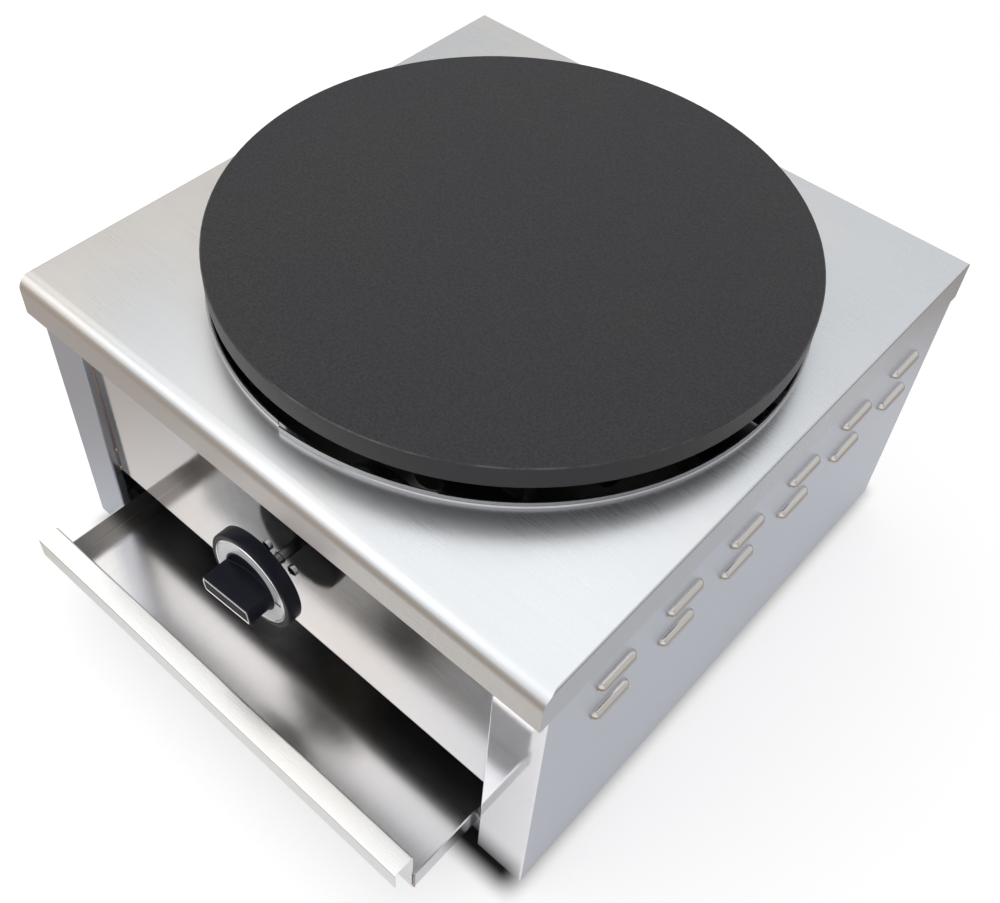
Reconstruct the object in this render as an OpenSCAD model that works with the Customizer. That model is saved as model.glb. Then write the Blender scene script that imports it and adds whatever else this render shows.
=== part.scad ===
// Countertop gas crepe maker: a folded stainless cabinet with a loose cast plate,
// a star burner, a push-and-turn gas tap and a drip drawer that slides out in front.
// The front looks along -Y, +Z is up, and z = 0 is the surface that the feet stand on.
// The drawer is drawn part of the way out.

/* [Cabinet] */
// Width of the top cover
cabinet_w = 445; // [436:1:520]
// Depth of the top cover
cabinet_d = 456; // [448:1:560]
// Height from the foot of the panels to the top of the cover
cabinet_h = 252; // [226:1:320]
// Thickness of the stainless sheet
sheet = 1; // [0.8:0.1:1.5]
// Inside radius of a sharp fold
fold_r = 0.5; // [0.3:0.1:1.2]
// Outside radius of the rolled front edge of the cover
nose_r = 11; // [6:0.5:16]
// Height of the skirt round the cover
skirt_h = 31; // [24:1:40]
// Play between the cover's skirt and the panels inside it
cover_play = 0.2; // [0.1:0.1:0.6]
// How far the cover stands out in front of the corner posts
front_overhang = 8.5; // [4:0.5:16]
// Width of a corner post
post_w = 38; // [32:1:48]
// How deep the front panel sits behind the posts
panel_recess = 6.5; // [4:0.5:14]
// Width of the top and rear flanges of a side panel
flange_w = 15; // [12:1:22]
// Width of the bottom flange of a side panel
bottom_flange_w = 30; // [28:1:40]
// Height of the front opening for the drawer
opening_h = 75; // [72:1:90]
// Width of the stiffening flange along the front panel's lower edge
lower_flange_w = 12; // [6:1:20]
// Height of the two bottom rails
rail_h = 22; // [14:1:26]
// Width of a bottom rail's top flange
rail_flange_w = 14; // [10:1:20]

/* [Louvres] */
// Louvres in a row
louvre_count = 6; // [3:1:6]
// Distance from one louvre to the next
louvre_pitch = 66; // [44:1:70]
// Length of a louvre
louvre_len = 35; // [24:0.5:40]
// Radius of a louvre's round hood
louvre_r = 4.6; // [3:0.1:7]
// Depth of the upper row below the top of the cover
louvre_top = 56; // [50:1:70]
// Distance between the two rows
louvre_row_gap = 33; // [18:1:44]
// Place of the middle of a row along the depth
louvre_y = 9; // [0:1:12]

/* [Cooking plate] */
// Diameter of the cooking plate
plate_d = 400; // [360:1:410]
// Thickness of the cooking plate
plate_t = 17; // [12:0.5:30]
// Bevel round the plate's rims
plate_bevel = 0.8; // [0.5:0.1:3]
// Place of the plate's axis along the depth
plate_y = 4; // [0:0.5:8]
// Height of the gap between the collar and the plate
plate_gap = 13; // [8:0.5:25]
// Diameter of a plate pillar
pillar_d = 12; // [10:0.5:16]
// Half the distance between the pillars along the width
pillar_x = 120; // [90:1:130]
// Diameter of a pillar's locating tip
tip_d = 8; // [5:0.5:9]
// Height of a pillar's locating tip
tip_h = 5; // [3:0.5:8]
// Play round a locating tip
tip_play = 0.5; // [0.3:0.1:1]

/* [Burner drum] */
// Outside diameter of the drum whose top edge is the collar
drum_d = 400; // [360:1:410]
// Wall of the drum
drum_wall = 1; // [0.8:0.1:1.5]
// How far the collar stands above the cover
collar_h = 4; // [2:0.5:12]
// Height of the drum
drum_h = 74; // [66:1:80]
// Play between the drum and the hole in the cover
drum_play = 0.4; // [0.2:0.1:1]
// Width of the slit where the drum's ends meet
drum_slit = 0.8; // [0.4:0.1:2]
// Half the angle that the joint strap spans
strap_angle = 5; // [3:0.5:9]
// Half the distance between the two cross bars
bar_y = 115; // [95:1:125]
// Width of a cross bar
bar_w = 30; // [24:1:36]
// Height of a cross bar
bar_h = 16; // [14:1:17]
// Thickness of a cross bar
bar_t = 1.5; // [1:0.1:2]

/* [Burner] */
// Arms of the star burner
arm_count = 8; // [6:2:10]
// Reach of a burner arm from the plate's axis
arm_reach = 150; // [110:1:158]
// Diameter of a burner arm
arm_d = 20; // [14:0.5:22]
// Wall of a burner arm
arm_wall = 1.2; // [0.8:0.1:2]
// Diameter of a flame port
port_d = 2.5; // [1.5:0.1:4]
// Distance between flame ports
port_pitch = 12; // [8:0.5:20]
// Diameter of the burner hub
hub_d = 90; // [72:1:100]
// Height of the burner hub
hub_h = 30; // [27:1:36]
// Wall of the burner hub
hub_wall = 2.5; // [1.5:0.1:4]
// Thickness of the burner bracket
bracket_t = 2; // [1.5:0.1:3]
// Width of the burner bracket
bracket_w = 64; // [50:1:76]
// Diameter of the mixing tube
tube_d = 32; // [26:0.5:36]
// Wall of the mixing tube
tube_wall = 1.5; // [1:0.1:2.5]
// Bend radius of the mixing tube at its axis
elbow_r = 30; // [24:1:32]
// How far the mixing tube reaches into the hub
tube_grip = 8; // [4:0.5:12]
// Diameter of the mixing tube's mouth
mouth_d = 40; // [38:0.5:46]
// Length of the mouth
mouth_len = 28; // [24:1:36]
// Length of the cone behind the mouth
cone_len = 10; // [6:1:20]
// Air windows in the mouth
window_count = 4; // [3:1:5]
// Width of an air window
window_w = 13; // [8:0.5:15]
// Length of an air window
window_len = 14; // [8:0.5:16]
// Wall of the air shutter
shutter_t = 1.2; // [0.8:0.1:2]
// Length of the air shutter
shutter_len = 20; // [18:0.5:22]
// Width of the air shutter's turning tab
shutter_tab = 8; // [5:0.5:12]
// Length of the air shutter's turning tab
shutter_tab_l = 10; // [6:0.5:16]

/* [Gas tap] */
// Depth of the tap's axis below the top of the cover
tap_drop = 110; // [104:1:130]
// Diameter of the tap body
tap_d = 34; // [32:0.5:40]
// Wall behind the plug that the injector screws into
tap_end_wall = 4; // [3.5:0.5:8]
// Thickness of the tap's bonnet and of the flange behind it
tap_flange_t = 3; // [2:0.5:4]
// Width of the tap's flange
tap_flange_w = 38; // [36:1:46]
// Height of the tap's flange
tap_flange_h = 24; // [20:1:30]
// Distance between the two tap screws
tap_screw_gap = 24; // [23.5:0.5:28]
// Slant of the line through the two tap screws
tap_slant = 12; // [0:1:20]
// Depth of the chamber in front of the plug
chamber_len = 13; // [12:0.5:15]
// Diameter of the plug at its wide end
plug_d = 17.6; // [17:0.1:18]
// Diameter of the plug at its narrow end
plug_tip_d = 14; // [12:0.1:16]
// Length of the plug
plug_len = 24; // [22:0.5:30]
// Running play of the plug and of the air shutter
running_play = 0.05; // [0.02:0.01:0.1]
// Diameter of the gas way
gas_way_d = 6; // [4:0.5:7]
// Diameter of the stem
stem_d = 8; // [6:0.5:10]
// How far the stem pushes in
push_travel = 3; // [2:0.5:4]
// Thickness of the stem's drive tongue
tongue_t = 3; // [2:0.1:4]
// Width of the stem's drive tongue
tongue_w = 12; // [9:0.5:12.5]
// Length of the stem's drive tongue
tongue_len = 16; // [15:0.5:17]
// Thickness of the stem's collar
stem_collar_t = 2; // [1.5:0.1:2.5]
// Diameter of the spring's wire
spring_wire = 1; // [0.6:0.1:1.2]
// Turns of the spring
spring_turns = 4; // [3:0.5:5]
// Length of the injector's hexagon
injector_hex_l = 6; // [4:0.5:10]
// Length of the injector's nozzle
injector_nose_l = 10; // [6:0.5:14]
// Diameter of the injector's nozzle
injector_nose_d = 9; // [7:0.5:11]
// Diameter of the injector's jet
jet_d = 1.4; // [0.8:0.1:2]

/* [Gas supply] */
// Diameter of the supply pipe
pipe_d = 10; // [8:0.5:12]
// Wall of the supply pipe
pipe_wall = 1; // [0.8:0.1:1.5]
// Bend radius of the supply pipe at its axis
pipe_bend_r = 25; // [18:1:40]
// Diameter of the pipe bosses on the tap and on the inlet
boss_d = 18; // [16:0.5:20]
// How far the tap's inlet boss reaches from the tap's axis
boss_reach = 30; // [26:1:40]
// Depth of the pipe's seat in a boss
pipe_seat = 8; // [6:0.5:10]
// Thickness of a pipe nut
pipe_nut_t = 10; // [6:0.5:14]
// Place of the gas inlet along the width
inlet_x = 180; // [120:1:190]
// Outside diameter of the inlet's pipe thread
inlet_d = 20.96; // [19:0.01:22]
// Length of the free pipe thread
inlet_len = 16; // [12:0.5:24]
// Thickness of the inlet's inner hexagon
inlet_hex_t = 8; // [5:0.5:12]
// Width across the flats of the inlet's hexagon and of its locknut
inlet_flats = 32; // [30:0.5:38]
// Thickness of the inlet's locknut
locknut_t = 5; // [4:0.5:8]

/* [Knob] */
// Diameter of the knob's skirt
knob_d = 73; // [71:0.5:80]
// Thickness of the knob's skirt
knob_t = 10.5; // [8:0.5:14]
// Rounding of the skirt's front edge
knob_round = 2.5; // [1:0.1:3]
// Gap between the front panel and the knob
knob_gap = 15; // [10:0.5:20]
// Turn of the grip from level
knob_turn = 6; // [-20:1:20]
// Diameter of the knob's middle, inside the dial ring
middle_d = 45; // [40:0.5:48]
// Depth of the dish beside the grip
dish_h = 3; // [1:0.1:4]
// Width of the land round the dish
dish_land = 1; // [0.5:0.1:2]
// Thickness of the grip
grip_t = 13; // [10:0.5:16]
// How far the grip stands in front of the skirt
grip_out = 20; // [16:0.5:26]
// How far the stem reaches into the knob
stem_grip = 14; // [10:0.5:16]
// Outside diameter of the dial ring
dial_d = 61; // [54:0.5:63]
// Thickness of the dial ring
dial_t = 0.8; // [0.5:0.1:1.2]
// Width of the bezel round the dial ring
bezel_w = 2; // [1:0.1:3]
// How far the bezel stands in front of the skirt
bezel_out = 0.6; // [0.3:0.1:1.2]
// Margin round the plate on the grip's end
end_plate_margin = 1; // [0.6:0.1:2]
// Thickness of the plate on the grip's end
end_plate_t = 0.6; // [0.4:0.1:1]

/* [Drawer] */
// Gap between the drawer's side and the corner post
drawer_gap = 3.8; // [3:0.1:8]
// Depth of the drip tray
drawer_d = 400; // [340:1:410]
// Height of the drip tray's walls
drawer_wall_h = 18; // [12:0.5:30]
// Play of the drawer on its runners
drawer_play = 0.3; // [0.2:0.1:0.6]
// Sideways play of the drawer between its runners
drawer_side_play = 0.8; // [0.4:0.1:1.2]
// How much narrower the drawer's front is than its tray
drawer_front_less = 3; // [1:0.5:8]
// Height of the drawer's front
drawer_front_h = 45.5; // [36:0.5:47]
// Depth of the lip along the top of the drawer's front
lip_d = 16; // [12:0.5:24]
// Drop of the lip's turned-down edge
lip_drop = 18; // [8:0.5:24]
// How far out the drawer is drawn
drawer_out = 63; // [0:1:200]
// Width of a runner's shelf
runner_shelf_w = 20; // [14:1:30]
// Height of a runner's guide
runner_guide_h = 15; // [8:1:24]

/* [Feet and fasteners] */
// Height of a foot
foot_h = 12; // [8:0.5:16]
// Diameter of a foot at its top
foot_d = 22; // [18:0.5:24]
// How much narrower a foot is at its bottom
foot_taper = 2; // [0:0.5:4]
// Distance of a foot's axis from the outside of its panel
foot_inset_x = 16; // [13:0.5:18]
// Distance of a foot's axis from the front or back of the cover
foot_inset_y = 38; // [34:1:60]
// Diameter of a foot screw
foot_screw_d = 5; // [4:0.5:6]
// Diameter of the tap and back panel screws
small_screw_d = 4; // [3:0.5:4.5]
// Length of a tap screw below its head
tap_screw_l = 9; // [8:0.5:10]
// Length of a back panel screw below its head
back_screw_l = 8; // [4:0.5:12]
// Screws up each side of the back panel
back_screw_count = 3; // [2:1:5]
// Distance of the end screws of the back panel from its foot and from the cover's skirt
back_screw_end = 12; // [9:1:40]
// Diameter of a burner bolt and of a pillar's stud
bolt_d = 6; // [5:0.5:8]
// Length of a burner bolt below its head, and of a pillar's stud
bolt_l = 10; // [8:0.5:12]
// Half the distance between the burner bolts along the width
bolt_x = 20; // [14:0.5:22]

/* [Hidden] */

$fn = 96;
// A cut runs this far past the face that it opens
past = 1;
// Play of a screw or bolt in its hole
hole_play = 0.2;
// Play of the stem in the front panel
stem_hole_play = 0.7;
// Play of a slip fit between fixed pieces
slip = 0.05;
// Lift of a moving piece off its seat
seat_play = 0.3;

// Finishes
steel = [0.80, 0.80, 0.81];
bright_steel = [0.72, 0.75, 0.80];
dull_steel = [0.55, 0.55, 0.56];
iron = [0.24, 0.24, 0.25];
brass = [0.80, 0.65, 0.36];
alloy = [0.78, 0.79, 0.80];
rubber = [0.10, 0.10, 0.10];
black_plastic = [0.09, 0.09, 0.11];
dial_silver = [0.88, 0.89, 0.92];
chrome = [0.85, 0.86, 0.88];

// Cabinet places
bend = fold_r + sheet;
half_w = cabinet_w / 2;
front_y = -cabinet_d / 2;
back_y = cabinet_d / 2;
base_z = foot_h;
top_z = base_z + cabinet_h;
under_z = top_z - sheet;
side_x = half_w - sheet - cover_play;
post_y = front_y + front_overhang;
post_x = side_x - post_w;
panel_y = post_y + panel_recess;
panel_back_y = panel_y + sheet;
panel_half_w = post_x + post_w / 2;
rear_y = back_y - sheet - cover_play;
rear_in_y = rear_y - sheet;
rail_top = base_z + rail_h;

// Half of the straight length of a louvre's hood, between its round ends
louvre_half = louvre_len / 2 - louvre_r;

// Drum and plate heights
collar_z = top_z + collar_h;
bar_top = collar_z - drum_h;
plate_z = collar_z + plate_gap;
seat_z = plate_z - seat_play;
drum_r = drum_d / 2;
slit_angle = -92;
bar_nut_h = 5;
bar_nut_flats = bolt_d * 1.7;

// Burner heights
hub_z = bar_top + bracket_t;
arm_z = hub_z + hub_h - arm_d / 2 - hub_wall;
arm_root = hub_d / 2 - hub_wall;
tap_z = top_z - tap_drop;
tube_r = tube_d / 2;
mouth_r = mouth_d / 2;

// Tap places along the depth
bonnet_y = panel_back_y;
tap_y = bonnet_y + tap_flange_t;
plug_y = tap_y + chamber_len;
tap_len = chamber_len + plug_len + tap_end_wall;
tap_end_y = tap_y + tap_len;
mouth_y = tap_end_y + injector_hex_l;
mouth_plate_t = 2;
window_y = mouth_y + mouth_len / 2;
chamber_d = plug_d + 0.8;
stem_collar_y = tap_y + seat_play;
stem_collar_r = chamber_d / 2 - 1;
tongue_y = stem_collar_y + stem_collar_t;
slot_depth = tongue_y + tongue_len + push_travel + past - plug_y;
plug_way_d = gas_way_d - 1;
port_y = plug_y + slot_depth + past + gas_way_d;
plug_end_gap = 0.1;
outlet_d = 8;
injector_flats = 14;
injector_thread_l = 3;

// Supply places
pipe_start_x = boss_reach - pipe_seat;
inlet_in_y = rear_in_y - inlet_hex_t;
inlet_boss_l = 14;
inlet_boss_y = inlet_in_y - inlet_boss_l;
pipe_end_y = inlet_boss_y + pipe_seat;
pipe_nut_flats = boss_d + 2;
neck_d = inlet_d + 4;
neck_l = sheet + locknut_t + 0.5;
free_thread_y = rear_in_y + neck_l;

// Knob places, measured forward from the knob's back
knob_y = panel_y - knob_gap;
knob_r = knob_d / 2;
middle_r = middle_d / 2;
dish_ball_r = (pow(middle_r - dish_land, 2) + pow(dish_h, 2)) / (2 * dish_h);
dial_floor = knob_t - dial_t;
grip_end = knob_t + grip_out;
stem_flat = stem_d * 0.35;

// Drawer places
drawer_half_w = post_x - drawer_gap;
tray_y = panel_y - drawer_out + sheet;
tray_z = rail_top + sheet + drawer_play;
runner_x = drawer_half_w + drawer_side_play;

// Feet and fastener sizes
foot_x = side_x - foot_inset_x;
foot_y = cabinet_d / 2 - foot_inset_y;
foot_head_d = foot_screw_d * 1.8;
foot_head_h = 3;
foot_recess_h = foot_h / 2;
nut_flats = foot_screw_d * 1.6;
nut_h = 4;
small_head_d = small_screw_d * 2;
small_head_h = 2.6;

// Flat shapes

// Sheet strip in the plane, folded to the left after each leg; legs are outside lengths
module folded(legs, t = sheet, i = 0) {
    corner = fold_r + t;
    last = len(legs) - 1;
    run = legs[i] - (i > 0 ? corner : 0) - (i < last ? corner : 0);
    square([run, t]);
    if (i < last) {
        translate([run, corner]) {
            intersection() {
                difference() {
                    circle(corner);
                    circle(fold_r);
                }
                translate([0, -corner]) square(corner);
            }
            translate([corner, 0]) rotate(90) folded(legs, t, i + 1);
        }
    }
}

// Corner waste that leaves a rounding: the corner is at the origin, the shape lies in +X and -Y
module corner_waste(r) {
    translate([0, -r]) {
        difference() {
            square(r);
            translate([r, 0]) circle(r);
        }
    }
}

// Upright block outline from x0 to x1 whose top corners are rounded by r0 and r1
module topped(x0, x1, z0, z1, r0, r1) {
    difference() {
        translate([x0, z0]) square([x1 - x0, z1 - z0]);
        translate([x0, z1]) corner_waste(r0);
        translate([x1, z1]) mirror([1, 0]) corner_waste(r1);
    }
}

// Solid helpers

// Draws an outline of the Y-Z plane out along X, centred
module along_x(length) {
    rotate([90, 0, 90]) linear_extrude(length, center = true) children();
}

// Draws an outline of the X-Z plane out along Y, from y0 to y1
module along_y(y0, y1) {
    translate([0, y1, 0]) rotate([90, 0, 0]) linear_extrude(y1 - y0) children();
}

// Turns a shape made about Z so that its Z axis points along +Y from a given point
module facing_back(x, y, z) {
    translate([x, y, z]) rotate([-90, 0, 0]) children();
}

// Turns a shape made about Z so that its Z axis points along -Y from a given point
module facing_front(x, y, z) {
    translate([x, y, z]) rotate([90, 0, 0]) children();
}

module ring(outer_d, inner_d, h) {
    difference() {
        cylinder(d = outer_d, h = h);
        translate([0, 0, -past]) cylinder(d = inner_d, h = h + 2 * past);
    }
}

module hex_prism(flats, h) {
    cylinder(d = flats / cos(30), h = h, $fn = 6);
}

module hex_nut(flats, bore_d, h) {
    difference() {
        hex_prism(flats, h);
        translate([0, 0, -past]) cylinder(d = bore_d, h = h + 2 * past);
    }
}

// Pan head screw along -Z with the underside of its head at z = 0 and a crossed recess
module pan_screw(d, length, head_d, head_h) {
    slot_w = head_d * 0.14;
    slot_l = head_d * 0.55;
    difference() {
        union() {
            translate([0, 0, -length]) cylinder(d = d, h = length + past);
            rotate_extrude() {
                intersection() {
                    square([head_d / 2, head_h]);
                    translate([0, head_h - head_d]) circle(head_d);
                }
            }
        }
        for (a = [0, 90]) {
            rotate(a) translate([-slot_l / 2, -slot_w / 2, head_h * 0.5]) cube([slot_l, slot_w, head_h]);
        }
    }
}

// Space under the cover: the cover's outline shrunk by inset, from depth below its top
module cover_block(inset, depth) {
    z0 = top_z - depth;
    z1 = top_z - inset;
    intersection() {
        along_x(cabinet_w - 2 * inset) {
            topped(front_y + inset, back_y - inset, z0, z1, nose_r - inset, bend - inset);
        }
        along_y(front_y, back_y) {
            topped(inset - half_w, half_w - inset, z0, z1, bend - inset, bend - inset);
        }
    }
}

// Trims what stands under the cover to the cover's inside
module under_cover() {
    intersection() {
        children();
        cover_block(sheet, cabinet_h + past);
    }
}

// Cabinet

module top_cover() {
    color(steel) {
        difference() {
            cover_block(0, skirt_h);
            cover_block(sheet, skirt_h + past);
            translate([0, plate_y, under_z - past]) {
                cylinder(r = drum_r + drum_play, h = sheet + 2 * past, $fn = 180);
            }
        }
    }
}

// Calls its children at the top middle of each louvre of the right panel
module at_louvres() {
    for (row = [0, 1], i = [0 : louvre_count - 1]) {
        y = louvre_y + (i - (louvre_count - 1) / 2) * louvre_pitch;
        z = top_z - louvre_top - row * louvre_row_gap;
        translate([side_x, y, z]) children();
    }
}

// Upper half of a louvre's hood with round ends, taken in by wall, from x0 outwards; it is open below
module louvre_hood(wall, x0) {
    intersection() {
        translate([0, 0, -louvre_r]) {
            rotate([90, 0, 0]) cylinder(r = louvre_r - wall, h = 2 * louvre_half, center = true);
            for (side = [-1, 1]) translate([0, side * louvre_half, 0]) sphere(r = louvre_r - wall);
        }
        translate([x0, -louvre_len, -louvre_r]) cube([louvre_len, 2 * louvre_len, louvre_len]);
    }
}

module side_panel() {
    wall_d = rear_in_y - post_y;
    flange_y = panel_back_y + cover_play;
    difference() {
        union() {
            under_cover() {
                union() {
                    translate([post_x, panel_y, base_z]) {
                        linear_extrude(under_z - base_z) {
                            rotate(-90) folded([panel_recess, post_w, wall_d, flange_w]);
                        }
                    }
                    translate([side_x - flange_w, flange_y, under_z - sheet]) {
                        cube([flange_w - sheet / 2, rear_in_y - flange_y - sheet / 2, sheet]);
                    }
                }
            }
            translate([side_x - bottom_flange_w, post_y + sheet / 2, base_z]) {
                cube([bottom_flange_w - sheet / 2, wall_d - sheet, sheet]);
            }
            at_louvres() louvre_hood(0, -sheet / 2);
        }
        at_louvres() louvre_hood(sheet, -sheet - past);
        for (side = [-1, 1]) {
            translate([foot_x, side * foot_y, base_z - past]) {
                cylinder(d = foot_screw_d + hole_play, h = sheet + 2 * past);
            }
        }
        at_back_screws(1) cylinder(d = small_screw_d + hole_play, h = 4 * sheet, center = true);
    }
}

module right_side_panel() {
    color(bright_steel) side_panel();
}

module left_side_panel() {
    color(bright_steel) mirror([1, 0, 0]) side_panel();
}

module front_panel() {
    panel_h = under_z - base_z - opening_h;
    color(steel) {
        difference() {
            under_cover() {
                along_x(2 * panel_half_w) {
                    translate([panel_y, under_z]) rotate(-90) folded([panel_h, lower_flange_w]);
                }
            }
            facing_back(0, panel_y - past, tap_z) {
                cylinder(d = stem_d + 2 * stem_hole_play, h = sheet + 2 * past);
            }
            at_tap_screws(panel_y - past) cylinder(d = small_screw_d + hole_play, h = sheet + 2 * past);
        }
    }
}

module back_panel() {
    color(steel) {
        difference() {
            under_cover() {
                translate([-side_x, rear_in_y, base_z]) cube([2 * side_x, sheet, under_z - base_z]);
            }
            for (side = [-1, 1]) {
                at_back_screws(side) cylinder(d = small_screw_d + hole_play, h = 4 * sheet, center = true);
            }
            facing_back(inlet_x, rear_in_y - past, tap_z) {
                cylinder(d = neck_d + hole_play, h = sheet + 2 * past);
            }
        }
    }
}

// Calls its children at each back panel screw of one side, with Z pointing out of the back
module at_back_screws(side) {
    low = base_z + back_screw_end;
    high = top_z - skirt_h - back_screw_end;
    for (i = [0 : back_screw_count - 1]) {
        z = low + (high - low) * i / (back_screw_count - 1);
        facing_back(side * (side_x - flange_w / 2), rear_y, z) children();
    }
}

module back_screws() {
    color(chrome) {
        for (side = [-1, 1]) {
            at_back_screws(side) pan_screw(small_screw_d, back_screw_l, small_head_d, small_head_h);
        }
    }
}

module rail() {
    translate([panel_y + rail_flange_w, rail_top]) rotate(180) folded([rail_flange_w, rail_h - sheet]);
}

module front_rail() {
    color(steel) along_x(2 * panel_half_w) rail();
}

module rear_rail() {
    color(steel) {
        translate([0, rear_in_y + panel_y, 0]) {
            mirror([0, 1, 0]) along_x(2 * (side_x - flange_w - cover_play)) rail();
        }
    }
}

module runner() {
    along_y(panel_y, rear_in_y) {
        translate([runner_x + sheet - runner_shelf_w, rail_top]) folded([runner_shelf_w, runner_guide_h]);
    }
}

module right_runner() {
    color(steel) runner();
}

module left_runner() {
    color(steel) mirror([1, 0, 0]) runner();
}

// Feet

module foot(side, end) {
    color(rubber) {
        translate([side * foot_x, end * foot_y, 0]) {
            difference() {
                cylinder(d1 = foot_d - foot_taper, d2 = foot_d, h = foot_h);
                translate([0, 0, -past]) cylinder(d = foot_screw_d + hole_play, h = foot_h + 2 * past);
                translate([0, 0, -past]) cylinder(d = foot_head_d + 2 * hole_play, h = foot_recess_h + past);
            }
        }
    }
}

module at_feet() {
    for (side = [-1, 1], end = [-1, 1]) {
        translate([side * foot_x, end * foot_y, 0]) children();
    }
}

module foot_screws() {
    shank = foot_h - foot_recess_h + sheet + nut_h + past;
    color(chrome) {
        at_feet() {
            translate([0, 0, foot_recess_h]) {
                mirror([0, 0, 1]) pan_screw(foot_screw_d, shank, foot_head_d, foot_head_h);
            }
        }
    }
}

module foot_nuts() {
    color(chrome) {
        at_feet() {
            translate([0, 0, base_z + sheet]) hex_nut(nut_flats, foot_screw_d + slip, nut_h);
        }
    }
}

// Drum, plate and what carries them

// Channel between the side panels
module cross_bar(side) {
    bar_half = side_x - sheet;
    color(dull_steel) {
        difference() {
            along_x(2 * bar_half) {
                translate([plate_y + side * bar_y + bar_w / 2, bar_top - bar_h]) {
                    rotate(90) folded([bar_h, bar_w, bar_h], bar_t);
                }
            }
            for (x = [-pillar_x, -bolt_x, bolt_x, pillar_x]) {
                translate([x, plate_y + side * bar_y, bar_top - bar_t - past]) {
                    cylinder(d = bolt_d + hole_play, h = bar_t + 2 * past);
                }
            }
        }
    }
}

module burner_drum() {
    color(steel) {
        translate([0, plate_y, bar_top]) {
            difference() {
                ring(drum_d, drum_d - 2 * drum_wall, drum_h, $fn = 180);
                rotate(slit_angle) {
                    translate([0, -drum_slit / 2, -past]) cube([drum_r + past, drum_slit, drum_h + 2 * past]);
                }
            }
        }
    }
}

module drum_strap() {
    strap_r = drum_r - drum_wall - slip;
    reach = strap_r * tan(strap_angle);
    color(steel) {
        translate([0, plate_y, bar_top]) {
            intersection() {
                ring(2 * strap_r, 2 * (strap_r - drum_wall), drum_h, $fn = 180);
                rotate(slit_angle) translate([0, -reach, 0]) cube([drum_r, 2 * reach, drum_h - collar_h]);
            }
        }
    }
}

module pillar(side, end) {
    color(dull_steel) {
        translate([side * pillar_x, plate_y + end * bar_y, 0]) {
            translate([0, 0, bar_top]) cylinder(d = pillar_d, h = seat_z - bar_top);
            translate([0, 0, seat_z - past]) cylinder(d = tip_d, h = tip_h + past);
            translate([0, 0, bar_top - bolt_l]) cylinder(d = bolt_d, h = bolt_l + past);
        }
    }
}

module pillar_nuts() {
    color(chrome) {
        for (side = [-1, 1], end = [-1, 1]) {
            translate([side * pillar_x, plate_y + end * bar_y, bar_top - bar_t - bar_nut_h]) {
                hex_nut(bar_nut_flats, bolt_d + slip, bar_nut_h);
            }
        }
    }
}

module cooking_plate() {
    plate_r = plate_d / 2;
    color(iron) {
        translate([0, plate_y, plate_z]) {
            difference() {
                rotate_extrude($fn = 180) {
                    polygon([
                        [0, 0], [plate_r - plate_bevel, 0], [plate_r, plate_bevel],
                        [plate_r, plate_t - plate_bevel], [plate_r - plate_bevel, plate_t], [0, plate_t]
                    ]);
                }
                for (side = [-1, 1], end = [-1, 1]) {
                    translate([side * pillar_x, end * bar_y, -past]) {
                        cylinder(d = tip_d + 2 * tip_play, h = tip_h + tip_play + past);
                    }
                }
            }
        }
    }
}

// Burner

// Calls its children at each burner arm, with X pointing along the arm at the arm's height
module at_arms() {
    for (i = [0 : arm_count - 1]) {
        translate([0, plate_y, arm_z]) rotate((i + 0.5) * 360 / arm_count) children();
    }
}

module burner_hub() {
    color(dull_steel) {
        difference() {
            translate([0, plate_y, hub_z]) cylinder(d = hub_d, h = hub_h);
            translate([0, plate_y, hub_z + hub_wall]) {
                cylinder(d = hub_d - 2 * hub_wall, h = hub_h - 2 * hub_wall);
            }
            translate([0, plate_y, hub_z - past]) cylinder(d = tube_d + 2 * slip, h = hub_wall + 2 * past);
            at_arms() {
                translate([arm_root - past, 0, 0]) {
                    rotate([0, 90, 0]) cylinder(d = arm_d + 2 * slip, h = hub_wall + 4 * past);
                }
            }
        }
    }
}

module burner_arms() {
    run = arm_reach - arm_root;
    first_port = hub_d / 2 + port_pitch / 2;
    port_count = floor((arm_reach - first_port - port_pitch / 2) / port_pitch) + 1;
    color(dull_steel) {
        at_arms() {
            difference() {
                translate([arm_root, 0, 0]) rotate([0, 90, 0]) cylinder(d = arm_d, h = run);
                translate([arm_root - past, 0, 0]) {
                    rotate([0, 90, 0]) cylinder(d = arm_d - 2 * arm_wall, h = run + past - 2 * arm_wall);
                }
                for (k = [0 : port_count - 1]) {
                    translate([first_port + k * port_pitch, 0, 0]) cylinder(d = port_d, h = arm_d, $fn = 16);
                }
            }
        }
    }
}

module burner_bracket() {
    reach = bar_y + bar_w / 2;
    color(dull_steel) {
        difference() {
            translate([-bracket_w / 2, plate_y - reach, bar_top]) cube([bracket_w, 2 * reach, bracket_t]);
            translate([0, plate_y, bar_top - past]) cylinder(d = tube_d + 2 * slip, h = bracket_t + 2 * past);
            for (x = [-bolt_x, bolt_x], end = [-1, 1]) {
                translate([x, plate_y + end * bar_y, bar_top - past]) {
                    cylinder(d = bolt_d + hole_play, h = bracket_t + 2 * past);
                }
            }
        }
    }
}

module burner_bolts() {
    head_h = bolt_d * 0.65;
    color(chrome) {
        for (x = [-bolt_x, bolt_x], end = [-1, 1]) {
            translate([x, plate_y + end * bar_y, hub_z]) {
                hex_prism(bar_nut_flats, head_h);
                translate([0, 0, -bolt_l]) cylinder(d = bolt_d, h = bolt_l + past);
            }
        }
    }
}

// Outline, out from the axis and back along the depth, of the straight run of the mixing tube
module tube_outline(shrink, front_y0, rear_y0) {
    cone_y = mouth_y + mouth_len;
    polygon([
        [0, front_y0], [mouth_r - shrink, front_y0], [mouth_r - shrink, cone_y],
        [tube_r - shrink, cone_y + cone_len], [tube_r - shrink, rear_y0], [0, rear_y0]
    ]);
}

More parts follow.
